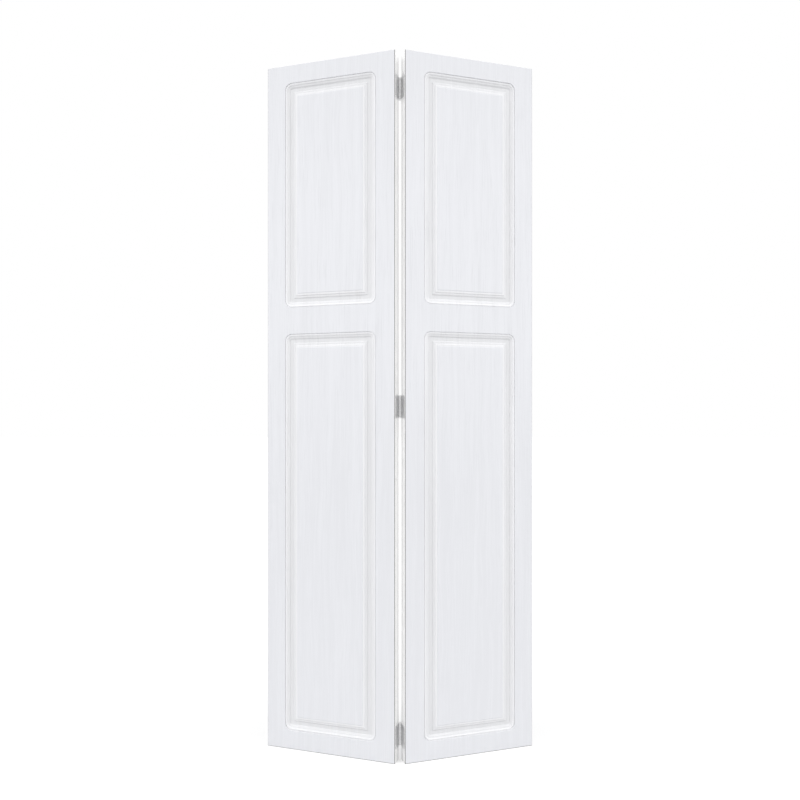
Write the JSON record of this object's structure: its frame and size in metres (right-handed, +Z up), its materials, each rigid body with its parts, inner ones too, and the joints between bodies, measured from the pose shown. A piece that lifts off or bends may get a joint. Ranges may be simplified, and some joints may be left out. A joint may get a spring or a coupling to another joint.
{
  "type": "folding closet door",
  "caption": "Two-leaf folding closet door with raised panels, hollow leaves and butt hinges, standing part folded, bored for top and bottom pivots and a top guide.",
  "frame": {"origin": "middle of the part-folded pair, side to side and front to back, at the level of its lower edges", "axes": "+Z up the leaves; -Y towards the room, where the hinged edges stand forward; +X towards the guide leaf, to the viewer's right"},
  "size_m": [0.783, 0.1586, 2.007],
  "materials": {
    "white_skin": "white satin foil with a fine upright grain, on moulded fibreboard",
    "frame_timber": "planed softwood, white on the exposed long edge",
    "core_card": "brown corrugated card",
    "hinge_steel": "satin plated steel",
    "pin_steel": "satin plated steel",
    "screw_steel": "bright plated steel"
  },
  "bodies": {
    "left_leaf": {"left_front_skin": "white_skin", "left_back_skin": "white_skin", "left_hinge_stile": "frame_timber", "left_outer_stile": "frame_timber", "left_top_rail": "frame_timber", "left_mid_rail": "frame_timber", "left_bottom_rail": "frame_timber", "left_upper_core": "core_card", "left_lower_core": "core_card", "left_hinge_screws": "screw_steel", "top_hinge_left_plate": "hinge_steel", "top_hinge_pin": "pin_steel", "middle_hinge_left_plate": "hinge_steel", "middle_hinge_pin": "pin_steel", "bottom_hinge_left_plate": "hinge_steel", "bottom_hinge_pin": "pin_steel"},
    "right_leaf": {"right_front_skin": "white_skin", "right_back_skin": "white_skin", "right_hinge_stile": "frame_timber", "right_outer_stile": "frame_timber", "right_top_rail": "frame_timber", "right_mid_rail": "frame_timber", "right_bottom_rail": "frame_timber", "right_upper_core": "core_card", "right_lower_core": "core_card", "right_hinge_screws": "screw_steel", "top_hinge_right_plate": "hinge_steel", "middle_hinge_right_plate": "hinge_steel", "bottom_hinge_right_plate": "hinge_steel"}
  },
  "joints": [
    {"name": "fold", "type": "hinge", "parent": "left_leaf", "child": "right_leaf", "pos_m": [0, -0.04299, 1.0035], "axis": [0, 0, 1], "range_deg": [-37, 143]}
  ]
}
